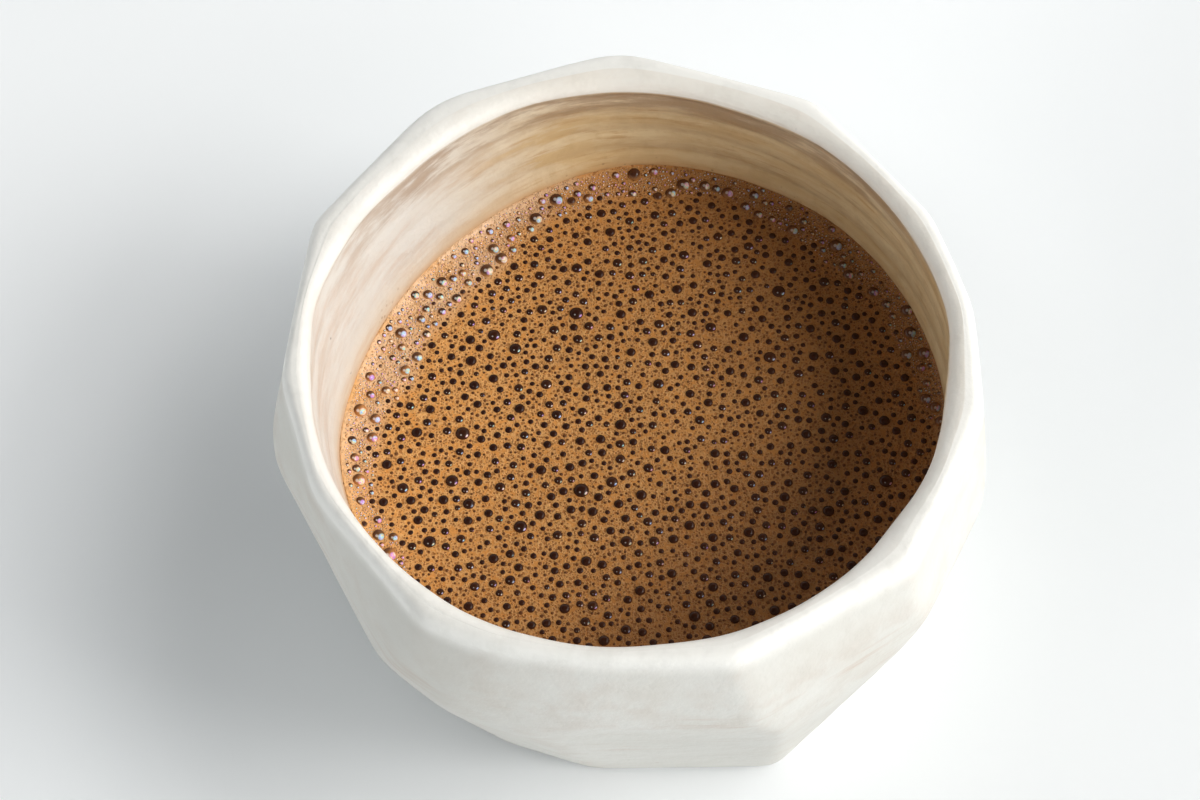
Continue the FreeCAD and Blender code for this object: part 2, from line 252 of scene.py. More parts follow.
def cup_grid():
    turn = np.linspace(0, 2 * math.pi, TURNS, endpoint=False)
    radii, heights, arris, inside = [], [], [], []

    def add(radius, height, edge, within):
        radii.append(np.broadcast_to(radius, turn.shape))
        heights.append(np.broadcast_to(height, turn.shape))
        arris.append(np.broadcast_to(edge, turn.shape))
        inside.append(np.full(turn.shape, within))

    for share in (0.0, 0.3, 0.6, 0.85):
        add(share * (outer_wall(turn, 0.0)[0] - FOOT_ROUND), 0.0, 0.0, 0.0)
    for angle in np.radians((0, 22, 45, 68)):
        height = FOOT_ROUND * (1 - math.cos(angle))
        wall, edge = outer_wall(turn, height)
        add(wall - FOOT_ROUND * (1 - math.sin(angle)), height, edge, 0.0)
    for height in np.linspace(FOOT_ROUND, TOP - LIP_FALL, OUTSIDE_ROWS):
        wall, edge = outer_wall(turn, height)
        add(wall, height, edge, 0.0)
    outer, edge = outer_wall(turn, TOP - LIP_FALL)
    inner = inner_wall(turn, TOP - LIP_SINK)
    crest = inner + CREST_SHARE * (outer - inner)
    for angle in np.radians(np.linspace(9, 90, 12)):
        out, up = math.cos(angle) ** LIP_SQUARE, math.sin(angle) ** LIP_SQUARE
        add(crest + (outer - crest) * out, TOP - LIP_FALL + LIP_FALL * up,
            edge * (1 - math.sin(angle)), 0.0)
    for angle in np.radians(np.linspace(82, 8, 10)):
        add(crest + (inner - crest) * math.cos(angle), TOP - LIP_SINK + LIP_SINK * math.sin(angle),
            0.0, 0.5)
    for height in np.linspace(TOP - LIP_SINK, SURFACE - BELOW_SURFACE, INSIDE_ROWS):
        add(inner_wall(turn, height), height, 0.0, 1.0)
    for radius, height in HOLLOW:
        add(radius, height, 0.0, 1.0)
    radii, heights = np.array(radii), np.array(heights)
    points = np.stack([radii * np.cos(turn), radii * np.sin(turn), heights], axis=-1)
    return points, np.array(arris), np.array(inside)


# %% [markdown]
# ## The hand's unevenness
# No hand-made wall is true. Two sizes of smooth noise push every point a little out or in, and
# a stronger one makes the inner edge of the lip wander. The push dies out at the table, so the
# cup stands flat, and inside it ends just below the froth, where the wall is out of sight.
# Last, the crest dips here and there.

# %% Push the grid out and in, and make the cup
SWAY_LUMPS, SWAY_GRAIN = (0.16, 17.0, 3.1), (0.05, 5.0, 7.7)    # depth, size of a lump, seed
LIP_WANDER, LIP_REACH, LIP_GROWTH = (0.70, 10.0, 9.1), 7.0, 6.0
CREST_DIP, DIP_LUMP, DIP_SEED, DIP_REACH = 0.60, 21.0, 5.5, 4.0
STEADY_FOOT = 3.0      # height over which the push grows from the table
STEADY_FROTH = 1.5     # depth below the froth at which the push inside ends
STEADY_SLOPE = 9       # how sharply it ends
LEAST_RADIUS = 0.001   # keeps the poles from a division by nothing


def uneven(points, depth, lump, seed):
    return depth * ripple(points, lump, seed)


points, arris, inside = cup_grid()
height = points[..., 2]
near_lip = np.clip((height - TOP + LIP_REACH) / LIP_GROWTH, 0, 1)
push = uneven(points, *SWAY_LUMPS) + uneven(points, *SWAY_GRAIN)
push += uneven(points, *LIP_WANDER) * inside * near_lip
push *= np.clip(height / STEADY_FOOT, 0, 1)
push *= np.clip((height - SURFACE + STEADY_FROTH) * STEADY_SLOPE, 1 - inside, 1)
radius = np.maximum(np.hypot(points[..., 0], points[..., 1]), LEAST_RADIUS)
points[..., :2] *= (1 + push / radius)[..., None]
dip = CREST_DIP * (0.5 + 0.5 * ripple(points, DIP_LUMP, DIP_SEED))
points[..., 2] -= dip * np.clip((height - TOP + DIP_REACH) / DIP_REACH, 0, 1)
cup = grid_mesh("cup_body", points, {"arris": arris, "inside": inside})

# %% [markdown]
# ## Shader arithmetic
# A finish is mostly sums and masks. To keep those readable, a small class wraps a node's
# socket and lets Python's own operators add the Math nodes. A second class holds one
# material and makes every other node from its type, its settings and its inputs.

# %% A socket with arithmetic, and a material that hands them out
class Value:
    """One output socket. Operators on it add Math nodes to its material."""

    def __init__(self, finish, node, output=0):
        self.finish, self.node, self.socket = finish, node, node.outputs[output]

    def out(self, name):
        return Value(self.finish, self.node, name)

    def math(self, operation, *others, first=None):
        inputs = [self, *others] if first is None else [first, self]
        return self.finish.add("ShaderNodeMath", {"operation": operation}, *inputs)

    def __add__(self, other):
        return self.math("ADD", other)

    def __sub__(self, other):
        return self.math("SUBTRACT", other)

    def __rsub__(self, other):
        return self.math("SUBTRACT", first=other)

    def __mul__(self, other):
        return self.math("MULTIPLY", other)

    def __truediv__(self, other):
        return self.math("DIVIDE", other)

    __radd__ = __add__
    __rmul__ = __mul__

    def above(self, low, high):
        """A soft mask: 0 below low, 1 above high."""
        return self.finish.add("ShaderNodeMapRange", {"interpolation_type": "SMOOTHSTEP"},
                               self, low, high, 0.0, 1.0)

    def below(self, low, high):
        """A soft mask: 1 below low, 0 above high."""
        return 1 - self.above(low, high)


class Finish:
    """One material, built node by node around a Principled shader."""

    def __init__(self, name, **constants):
        self.material = bpy.data.materials.new(name)
        self.material.use_nodes = True
        self.tree = self.material.node_tree
        self.shader = self.tree.nodes["Principled BSDF"]
        for key, value in constants.items():
            self.shader.inputs[key.replace("_", " ")].default_value = value
        self.place = self.add("ShaderNodeTexCoord").out("Object")

    def add(self, kind, settings=None, *inputs, **named):
        """A node, its settings, and its inputs by number or by name."""
        node = self.tree.nodes.new(kind)
        for key, value in (settings or {}).items():
            if key == "stops":
                self.set_stops(node.color_ramp, value)
            else:
                setattr(node, key, value)
        for index, value in enumerate(inputs):
            self.feed(node.inputs[index], value)
        for key, value in named.items():
            self.feed(node.inputs[key.replace("_", " ")], value)
        return Value(self, node)

    def feed(self, socket, value):
        if isinstance(value, Value):
            self.tree.links.new(value.socket, socket)
        elif value is not None:
            socket.default_value = value

    def set_stops(self, ramp, stops):
        while len(ramp.elements) < len(stops):
            ramp.elements.new(0.5)
        for element, (position, colour) in zip(ramp.elements, stops):
            element.position, element.color = position, (*colour, 1.0)

    def noise(self, scale, detail=3.0, roughness=0.55, place=None):
        """Soft noise about 0.5; scale is lumps in each metre."""
        return self.add("ShaderNodeTexNoise", None, Vector=place or self.place, Scale=scale,
                        Detail=detail, Roughness=roughness)

    def cells(self, scale):
        """Distance from the middle of the nearest of many scattered cells."""
        return self.add("ShaderNodeTexVoronoi", None, Vector=self.place, Scale=scale)

    def attribute(self, name):
        return self.add("ShaderNodeAttribute", {"attribute_name": name}).out("Fac")

    def mix(self, mask, low, high):
        """Two colours, low where the mask is 0."""
        node = self.tree.nodes.new("ShaderNodeMix")
        node.data_type = "RGBA"
        for index, value in ((0, mask), (6, low), (7, high)):
            self.feed(node.inputs[index], (*value, 1.0) if isinstance(value, tuple) else value)
        return Value(self, node, 2)

    def stretch(self, x, y, z):
        """The place, stretched, so that a pattern runs long along one axis."""
        return self.add("ShaderNodeMapping", {"vector_type": "POINT"}, self.place,
                        (0, 0, 0), (0, 0, 0), (x, y, z))

    def axes(self):
        split = self.add("ShaderNodeSeparateXYZ", None, self.place)
        return split.out("X"), split.out("Y"), split.out("Z")

    def wear(self, **links):
        """Link the values that vary over the surface into the shader."""
        for key, value in links.items():
            self.feed(self.shader.inputs[key.replace("_", " ")], value)
        return self.material

    def bump(self, height, distance, strength):
        return self.add("ShaderNodeBump", None, Strength=strength, Distance=distance, Height=height)


# %% [markdown]
# ## Stoneware
# White clay under a thin satin glaze. Where the glaze runs thin, on the arrises and in fine
# level streaks at the shoulder and the waist, the clay shows a faint rosy brown. Painted shade
# greys the white at the low right and at the front left, and painted light makes the lip palest.
# Colours are mixed one over the other, each with its own mask, because that is how the real stains
# lie.

# %% The glaze outside
WARM_WHITE = (0.745, 0.73, 0.685)
CLOUDY_WHITE = (0.70, 0.68, 0.625)
MOTTLE_WHITE = (0.65, 0.63, 0.57)
SHADED_WHITE = (0.60, 0.585, 0.54)
LIP_PAINTED_LIGHT = (0.93, 0.91, 0.86)
ROSY_CLAY = (0.56, 0.42, 0.33)
FOOT_CLAY = (0.58, 0.55, 0.51)
IRON_SPECK = (0.36, 0.20, 0.14)
LIP_LIGHT_FROM, LIP_LIGHT_TO = (TOP - 4.5) * MM, (TOP - 1.2) * MM


def outside_colour(clay, arris):
    """Warm white with fine level streaks where the glaze is thin; painted shade, painted light on
    the lip.
    """
    x, y, z = clay.axes()
    broad, fine = clay.noise(48, 4), clay.noise(260, 4)
    level = clay.noise(1.0, 5, 0.62, clay.stretch(60, 60, 620))
    white = clay.mix(broad.above(0.30, 0.72), WARM_WHITE, CLOUDY_WHITE)
    white = clay.mix(fine.above(0.5, 0.75) * 0.4, white, MOTTLE_WHITE)
    shoulder = z.above(0.040, 0.046) * z.below(0.048, 0.054)
    waist = z.above(0.012, 0.020) * z.below(0.030, 0.046)
    streaks = level.above(0.50, 0.68) * broad.above(0.40, 0.62)
    rosy = arris * 0.20 * fine.above(0.35, 0.6) + streaks * (0.55 * shoulder + 0.40 * waist)
    colour = clay.mix(rosy.math("MINIMUM", 0.55), white, ROSY_CLAY)
    colour = clay.mix(z.below(0.0, 0.020) * 0.10, colour, FOOT_CLAY)
    specks = clay.cells(150).below(0.04, 0.07) * clay.noise(90, 1).above(0.61, 0.65)
    colour = clay.mix(specks * 0.6, colour, IRON_SPECK)
    # painted shade: the facets at the low right and at the front left are painted greyer
    low_right_shade = z.below(0.026, 0.048) * (x + y * -0.5).above(0.010, 0.034)
    front_left_shade = (0 - x).above(0.004, 0.026) * (0 - y).above(0.018, 0.034)
    colour = clay.mix(low_right_shade * 0.55 + front_left_shade * 0.45, colour, SHADED_WHITE)
    # painted light: the lip is painted paler, standing in for the light on its top
    lip = z.above(LIP_LIGHT_FROM, LIP_LIGHT_TO) * (1 - 0.3 * fine.above(0.45, 0.7))
    return clay.mix(lip, colour, LIP_PAINTED_LIGHT)


# %% [markdown]
# ## The stained inside
# The inside has soaked up many drinks: it is cream on the left and tan at the back and on the
# right. Noise stretched into long level threads darkens the tan along the finger rings. The
# last tide mark stands just above the froth, an orange wash with a thin dark line in it, and
# a few dots and crumbs have dried on.

# %% The stains inside
CREAM = (0.76, 0.735, 0.70)
MOTTLED_CREAM = (0.73, 0.685, 0.63)
PINKISH_WASH = (0.66, 0.545, 0.475)
TAN = (0.78, 0.595, 0.335)
DEEP_TAN = (0.67, 0.47, 0.235)
ROUGH_TAN = (0.54, 0.36, 0.17)
THREAD_BROWN = (0.50, 0.27, 0.10)
TOP_RING_BROWN = (0.40, 0.28, 0.19)
TIDE_WASH = (0.76, 0.49, 0.22)
TIDE_ORANGE = (0.62, 0.32, 0.12)
TIDE_LINE = (0.34, 0.15, 0.05)
DRIED_DOT = (0.12, 0.06, 0.035)
DRIED_CRUMB = (0.34, 0.16, 0.07)


def inside_colour(clay):
    """Cream to tan, streaked along the rings, with the tide mark of the drink."""
    x, y, z = clay.axes()
    height = (z - SURFACE * MM) / ((TOP - SURFACE) * MM)
    fine = clay.noise(240, 5, 0.6)
    swirl = clay.noise(1.0, 7, 0.66, clay.stretch(60, 60, 360))
    thread = clay.noise(1.0, 5, 0.6, clay.stretch(110, 110, 1500))
    cream = clay.mix(fine.above(0.4, 0.7) * 0.5, CREAM, MOTTLED_CREAM)
    cream = clay.mix(swirl.above(0.44, 0.62) * 0.55, cream, PINKISH_WASH)
    tan = clay.mix(swirl.above(0.38, 0.64), TAN, DEEP_TAN)
    back = (y * 17 + x * 15).above(-0.08, 0.66)
    deep = height.below(0.55, 1.05)
    stain = 0.08 + 0.86 * back * (0.55 + 0.45 * deep)
    stain = stain + 0.25 * swirl.above(0.5, 0.66) * (0.25 + back)
    wall = clay.mix(stain.math("MINIMUM", 0.96), cream, tan)
    rough_patch = clay.noise(420, 4).above(0.48, 0.66) * back
    wall = clay.mix(rough_patch * 0.26, wall, ROUGH_TAN)
    ridge = thread.above(0.55, 0.64) * (0.12 + 0.60 * back) * fine.above(0.35, 0.6)
    wall = clay.mix(ridge * 0.70, wall, THREAD_BROWN)
    top_ring = height.above(0.55, 0.78) * height.below(0.86, 0.98) * y.above(0.006, 0.030)
    wall = clay.mix(top_ring * swirl.above(0.40, 0.56) * 0.7, wall, TOP_RING_BROWN)
    wave = 0.07 * clay.noise(110, 2)
    tide = 1 - 0.7 * x.above(0.008, 0.030)
    wall = clay.mix((height - wave).below(0.02, 0.30) * 0.38 * tide, wall, TIDE_WASH)
    wall = clay.mix((height - wave).below(0.02, 0.10) * 0.60 * tide, wall, TIDE_ORANGE)
    line = (height - wave).below(0.020, 0.045) * clay.noise(300, 3).above(0.36, 0.56)
    wall = clay.mix(line * (0.15 + 0.45 * back), wall, TIDE_LINE)
    dots = clay.cells(420).below(0.08, 0.14) * clay.noise(130, 2).above(0.62, 0.68)
    wall = clay.mix(dots * 0.8, wall, DRIED_DOT)
    crumbs = clay.cells(900).below(0.12, 0.25) * height.below(0.08, 0.22) * fine.above(0.5, 0.62)
    return clay.mix(crumbs * 0.6, wall, DRIED_CRUMB)


# %% The cup's finish
def stoneware():
    clay = Finish("stoneware", Roughness=0.5, IOR=1.5)
    arris, inside = clay.attribute("arris"), clay.attribute("inside")
    colour = clay.mix(inside.above(0.30, 0.95), outside_colour(clay, arris), inside_colour(clay))
    rough = 0.42 + 0.16 * clay.noise(260, 4) - 0.08 * inside
    fingers = clay.noise(1.0, 3, 0.5, clay.stretch(30, 30, 480))
    relief = 0.6 * clay.noise(1500, 3) + 1.6 * clay.noise(420, 4) + 2.0 * fingers * inside
    return clay.wear(Base_Color=colour, Roughness=rough, Normal=clay.bump(relief, 0.00013, 0.7))


clay_finish = stoneware()
cup.data.materials.append(clay_finish)
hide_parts("cup")
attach(cup, "root")
print("cup finished:", len(clay_finish.node_tree.nodes), "nodes")

# %% [markdown]
# ## Where the bubbles lie
# Froth sorts itself: large bubbles keep their distance and small ones fill the gaps. Throwing
# darts does the same. Each class of sizes tries random places and keeps one only where it
# clears all bubbles thrown before it. Clear beads go first: they stand proud of the froth, in
# a band along the wall that is wide at the back left, narrower at the back right and thin at
# the front. Then come the dark bubbles of the middle, from large to small, and last the fine
# fizz that fills the band. A coarse grid of cells makes the test quick.

# %% The froth's edge and the band of clear beads
EDGE_TURNS = np.linspace(-math.pi, math.pi, 721)
EDGE_RADII = inner_wall(EDGE_TURNS, SURFACE + JUST_ABOVE)
BAND_LEAST = 0.7
BAND_SWELLS = ((5.4, 150, 60), (3.2, 40, 45))       # extra width, its direction and its spread
BAND_RIPPLES = ((0.6, 9, 0), (0.4, 17, 2))          # extra width, waves in a turn, start


def froth_edge(turn):
    """Radius of the froth's edge in one direction."""
    return float(np.interp(math.remainder(turn, 2 * math.pi), EDGE_TURNS, EDGE_RADII))


def band_width(turn):
    """Width of the band of clear beads, in millimetres, round the wall."""
    width = BAND_LEAST
    for extra, direction, spread in BAND_SWELLS:
        width += extra * math.exp(-((math.degrees(turn) % 360 - direction) / spread) ** 2)
    for extra, waves, start in BAND_RIPPLES:
        width += extra * math.sin(waves * turn + start)
    return width


# %% A board for throwing bubbles like darts
rng = random.Random(41)
FEWER_LARGE = 1.6      # over 1, sizes lean to the small end of their class
TUCKED = 0.7           # share of its radius that a bubble at the wall keeps off it
CLEAR_OF_WALL = 0.2
LEAST_BAND = 0.3
BAND_OVERLAP = 0.25    # share of the band that the dark bubbles reach into


class DartBoard:
    """The bubbles thrown so far, on a grid of cells that finds the near ones."""

    CELL = 3.0

    def __init__(self):
        self.cells = {}

    def cell(self, x, y):
        return int(x // self.CELL), int(y // self.CELL)

    def clear(self, x, y, radius, gap):
        column, row = self.cell(x, y)
        for i in (-1, 0, 1):
            for j in (-1, 0, 1):
                for u, v, r in self.cells.get((column + i, row + j), ()):
                    if math.hypot(x - u, y - v) < radius + r + gap:
                        return False
        return True

    def throw(self, count, low, high, gap, in_band, tries):
        """Keep up to count bubbles with radii from low to high, in tries throws for each."""
        kept = []
        for _ in range(count * tries):
            if len(kept) == count:
                break
            turn = rng.uniform(0, 2 * math.pi)
            radius = low + (high - low) * rng.random() ** FEWER_LARGE
            width = band_width(turn)
            edge = froth_edge(turn) - radius * TUCKED
            inner = froth_edge(turn) - max(width, LEAST_BAND)
            if in_band:
                away = rng.uniform(inner, edge)
            else:
                away = math.sqrt(rng.random()) * (edge - CLEAR_OF_WALL)
                if away > inner + BAND_OVERLAP * width:
                    continue
            x, y = away * math.cos(turn), away * math.sin(turn)
            if not self.clear(x, y, radius, gap):
                continue
            self.cells.setdefault(self.cell(x, y), []).append((x, y, radius))
            kept.append((x, y, radius))
        return kept


# %% Throwing the bubbles
# kind, how many, least and greatest radius, gap, whether it lies in the band, tries for each
THROWS = [
    ("wall", 120, 0.54, 0.98, 0.20, True, 40),
    ("wall", 150, 0.26, 0.46, 0.10, True, 40),
    ("large", 12, 0.82, 1.05, 1.8, False, 40),
    ("middle", 120, 0.62, 0.78, 1.0, False, 40),
    ("middle", 440, 0.48, 0.62, 0.48, False, 40),
    ("lesser", 720, 0.34, 0.46, 0.32, False, 40),
    ("small", 1400, 0.18, 0.28, 0.16, False, 40),
    ("pores", 4600, 0.09, 0.16, 0.08, False, 12),
    ("fizz", 3000, 0.10, 0.22, 0.02, True, 12),
]
board = DartBoard()
places = {}
for kind, *thrown in THROWS:
    places[kind] = places.get(kind, []) + board.throw(*thrown)
print("bubbles kept:", {kind: len(kept) for kind, kept in places.items()})

# %% [markdown]
# ## The froth
# The froth is a layer of its own, modelled as a closed disc. Its top rises in a small curve
# where it wets the wall, swells a little under the band of clear beads and is never quite
# level. Its edge reaches just into the stoneware, so that no gap shows.

# %% The froth's surface and mesh
MENISCUS_REACH = 2.2
MENISCUS_LIMIT = 1.15                               # how far the curve may run on into the wall
INTO_WALL = 0.5
BAND_SWELL, SWELL_REACH = 0.18, 1.5
FROTH_LUMPS = ((0.10, 7.0, 0), (0.05, 1.6, 9))      # height, size and seed
FROTH_TURNS, FROTH_ROWS = 420, 110
BAND_START, BAND_SOFT = 1.4, 3.2                    # where the band's finish starts and fades in


def froth_height(x, y):
    """Height of the froth's top at a place in millimetres."""
    away, turn = math.hypot(x, y), math.atan2(y, x)
    past = away - froth_edge(turn)
    climb = max(0.0, (past + MENISCUS_REACH) / MENISCUS_REACH)
    swell = min(1.0, max(0.0, (past + band_width(turn)) / SWELL_REACH))
    lumps = sum(high * field.noise(Vector((x, y, seed)) / size) for high, size, seed in FROTH_LUMPS)
    return SURFACE + MENISCUS_RISE * min(climb, MENISCUS_LIMIT) ** 2 + BAND_SWELL * swell + lumps


def froth_grid():
    turn = np.linspace(0, 2 * math.pi, FROTH_TURNS, endpoint=False)
    rim = inner_wall(turn, SURFACE + JUST_ABOVE) + INTO_WALL
    rows, band = [], []

    def add(away, height, within):
        rows.append(np.stack([away * np.cos(turn), away * np.sin(turn), height], axis=-1))
        band.append(within)

    for share in (0.0, 0.5, 0.97):
        add(rim * share, np.full(turn.shape, LIQUID), np.zeros(turn.shape))
    widths = np.array([band_width(t) for t in turn])
    for share in np.linspace(1, 0, FROTH_ROWS) ** 0.8:
        away = rim * share
        height = [froth_height(a * math.cos(t), a * math.sin(t)) for a, t in zip(away, turn)]
        within = np.clip((away - rim + INTO_WALL + widths + BAND_START) / BAND_SOFT, 0, 1)
        add(away, np.array(height), within)
    return np.array(rows), np.array(band)


froth_points, froth_band = froth_grid()
froth = grid_mesh("froth", froth_points, {"band": froth_band})

# %% [markdown]
# ## From a cloud of points to bubbles
# Each bubble is the cap of a small flattened ball. Geometry Nodes put one on every point of a
# cloud, scaled by the point's own radius and turned to stand square on the froth. The tree
# ends in Realize Instances and Set Material, and the result becomes a plain mesh. One tree
# serves all seven kinds. Only its inputs differ: how many sides and rings a ball has, how flat
# it is, how deep it sinks and which finish it wears. A small bubble gets by with few faces.

# %% The tree that sets bubbles on a cloud
CUT_BELOW = -0.25      # a ball's hidden part, below this share of its radius, is cut away


def bubble_tree():
    tree = bpy.data.node_groups.new("set_bubbles", "GeometryNodeTree")
    tree.is_modifier = True
    face = tree.interface
    face.new_socket("Cloud", in_out="INPUT", socket_type="NodeSocketGeometry")
    face.new_socket("Bubbles", in_out="OUTPUT", socket_type="NodeSocketGeometry")
    for name, kind in (("Sides", "NodeSocketInt"), ("Rings", "NodeSocketInt"),
                       ("Flatness", "NodeSocketFloat"), ("Sink", "NodeSocketFloat"),
                       ("Finish", "NodeSocketMaterial")):
        face.new_socket(name, in_out="INPUT", socket_type=kind)

    def add(kind, settings=None, **inputs):
        node = tree.nodes.new(kind)
        for key, value in (settings or {}).items():
            setattr(node, key, value)
        for key, value in inputs.items():
            socket = node.inputs[key.replace("_", " ")]
            if isinstance(value, bpy.types.NodeSocket):
                tree.links.new(value, socket)
            else:
                socket.default_value = value
        return node

    group = add("NodeGroupInput").outputs
    ball = add("GeometryNodeMeshUVSphere", Segments=group["Sides"], Rings=group["Rings"],
               Radius=1.0).outputs["Mesh"]
    height = add("ShaderNodeSeparateXYZ", Vector=add("GeometryNodeInputPosition").outputs[0])
    buried = add("FunctionNodeCompare", {"operation": "LESS_THAN"}, A=height.outputs["Z"],
                 B=CUT_BELOW)
    cap = add("GeometryNodeDeleteGeometry", Geometry=ball, Selection=buried.outputs[0])
    flat = add("ShaderNodeCombineXYZ", X=1.0, Y=1.0, Z=group["Flatness"])
    down = add("ShaderNodeMath", {"operation": "MULTIPLY"})
    tree.links.new(group["Sink"], down.inputs[0])
    down.inputs[1].default_value = -1.0
    drop = add("ShaderNodeCombineXYZ", Z=down.outputs[0])
    cap = add("GeometryNodeTransform", Geometry=cap.outputs[0], Scale=flat.outputs[0],
              Translation=drop.outputs[0])
    size = add("GeometryNodeInputNamedAttribute", {"data_type": "FLOAT"}, Name="radius")
    tilt = add("GeometryNodeInputNamedAttribute", {"data_type": "FLOAT_VECTOR"}, Name="upward")
    turned = add("FunctionNodeAlignRotationToVector", {"axis": "Z"}, Vector=tilt.outputs[0])
    placed = add("GeometryNodeInstanceOnPoints", Points=group["Cloud"], Instance=cap.outputs[0],
                 Rotation=turned.outputs[0], Scale=size.outputs[0])
    real = add("GeometryNodeRealizeInstances", Geometry=placed.outputs[0])
    smooth = add("GeometryNodeSetShadeSmooth", Geometry=real.outputs[0])
    dressed = add("GeometryNodeSetMaterial", Geometry=smooth.outputs[0], Material=group["Finish"])
    tree.links.new(dressed.outputs[0], add("NodeGroupOutput").inputs[0])
    return tree


BUBBLES = bubble_tree()
print("bubble tree:", len(BUBBLES.nodes), "nodes")

# %% A cloud, its bubbles and their mesh
SLOPE_STEP = 0.25      # millimetres between the heights that give a slope


def froth_slope(x, y):
    """The froth's upward direction, from three heights."""
    level = froth_height(x, y)
    lean = Vector((level - froth_height(x + SLOPE_STEP, y), level - froth_height(x, y + SLOPE_STEP),
                   SLOPE_STEP))
    return lean.normalized()


def set_bubbles(name, spots, sides, rings, flatness, sink, finish):
    """Put a bubble on each spot and hand the whole kind over as one mesh."""
    mesh = bpy.data.meshes.new(name + "_cloud")
    mesh.from_pydata([(x * MM, y * MM, froth_height(x, y) * MM) for x, y, _ in spots], [], [])
    columns = {
        "radius": ("FLOAT", "value", [radius * MM for _, _, radius in spots]),
        "shade": ("FLOAT", "value", [rng.random() for _ in spots]),
        "upward": ("FLOAT_VECTOR", "vector", [c for x, y, _ in spots for c in froth_slope(x, y)]),
    }
    for key, (kind, field_name, values) in columns.items():
        mesh.attributes.new(key, kind, "POINT").data.foreach_set(field_name, values)
    cloud = bpy.data.objects.new(name + "_cloud", mesh)
    bpy.context.collection.objects.link(cloud)
    modifier = cloud.modifiers.new("bubbles", "NODES")
    modifier.node_group = BUBBLES
    inputs = {"Sides": sides, "Rings": rings, "Flatness": flatness, "Sink": sink, "Finish": finish}
    for item in BUBBLES.interface.items_tree:
        if item.name in inputs:
            modifier[item.identifier] = inputs[item.name]
    ready = cloud.evaluated_get(bpy.context.evaluated_depsgraph_get())
    solid = bpy.data.meshes.new_from_object(ready)
    solid.name = name
    bpy.data.objects.remove(cloud)
    piece = bpy.data.objects.new(name, solid)
    bpy.context.collection.objects.link(piece)
    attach(piece, "root")
    print(f"{name}: {len(spots)} bubbles, {len(solid.polygons)} faces")


# %% [markdown]
# ## The froth's finish
# The froth is tan and wet, and pricked with pores too fine to model: two sizes of cells give
# them, each cell with a pore of its own size and a pale rim. In the band it is smoother, and
# on the left it is paler and carries a painted sheen. The cup's walls shade the froth, and the
# lamps alone leave it too pale there, so painted shade deepens the colour to the right, and a
# little at the back and the front.

# %% The colour of the froth
FROTH_TAN = (0.82, 0.360, 0.092)
FROTH_DULL = (0.76, 0.322, 0.080)
FROTH_LIGHT = (0.80, 0.42, 0.14)
FROTH_GRAIN = (0.46, 0.190, 0.050)
PORE_RIM = (0.88, 0.52, 0.21)
PORE_DARK = (0.36, 0.135, 0.034)
BAND_PALE = (0.82, 0.46, 0.19)
BAND_SHEEN = (0.92, 0.63, 0.40)
FROTH_PAINTED_SHADE = (0.14, 0.042, 0.009)
PORES_A_METRE = ((2300, 0.20, 0.34), (1400, 0.14, 0.28))    # cells, least pore, added at most


def painted_shade_side(finish):
    """How much painted shade darkens the colour: nothing on the left, most on the right."""
    x, y, _ = finish.axes()
    across = x + 0.35 * y.math("ABSOLUTE") + (y * -0.45).math("MAXIMUM", 0.0)
    return 0.30 * across.above(-0.020, 0.006) + 0.36 * across.above(0.002, 0.030)


def froth_pores(foam, scale, low, high):
    """Small dark pores with pale rims, as two masks."""
    cell = foam.cells(scale)
    own = foam.add("ShaderNodeSeparateColor", None, cell.out("Color")).out("Red")
    span = cell / (low + high * own)
    return span.below(0.55, 1.0), span.above(0.85, 1.15) * span.below(1.25, 1.7)


def froth_finish():
    foam = Finish("froth", Roughness=0.4, IOR=1.34)
    band = foam.attribute("band")
    x, y, _ = foam.axes()
    broad, lumps, grain = foam.noise(70, 3), foam.noise(700, 3), foam.noise(3600, 3)
    colour = foam.mix(broad.above(0.3, 0.7), FROTH_TAN, FROTH_DULL)
    colour = foam.mix(lumps.above(0.42, 0.66) * 0.35, colour, FROTH_LIGHT)
    colour = foam.mix(grain.above(0.47, 0.58) * 0.30, colour, FROTH_GRAIN)
    (fine, fine_rim), (wide, wide_rim) = [froth_pores(foam, *size) for size in PORES_A_METRE]
    pores, rims = (fine + wide).math("MINIMUM", 1.0), (fine_rim + wide_rim).math("MINIMUM", 1.0)
    colour = foam.mix(rims * 0.50, colour, PORE_RIM)
    colour = foam.mix(pores * 0.66, colour, PORE_DARK)
    left = (y * 0.1 - x).above(0.0, 0.022)
    colour = foam.mix(band * left * 0.45, colour, BAND_PALE)
    # painted sheen: the window's shine on the wet band at the back left
    painted_sheen = band * left * y.above(-0.018, 0.004) * foam.noise(190, 3).above(0.34, 0.54)
    colour = foam.mix(painted_sheen * 0.65, colour, BAND_SHEEN)
    # painted shade where the cup's walls shade the froth
    colour = foam.mix(painted_shade_side(foam), colour, FROTH_PAINTED_SHADE)
    relief = lumps * 0.4 + grain * 0.25 - pores * 1.0 + rims * 0.5
    rough = 0.42 - 0.16 * band
    return foam.wear(Base_Color=colour, Roughness=rough, Normal=foam.bump(relief, 0.00009, 0.9))


froth.data.materials.append(froth_finish())
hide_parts("foam")
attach(froth, "root")
print("froth finished")
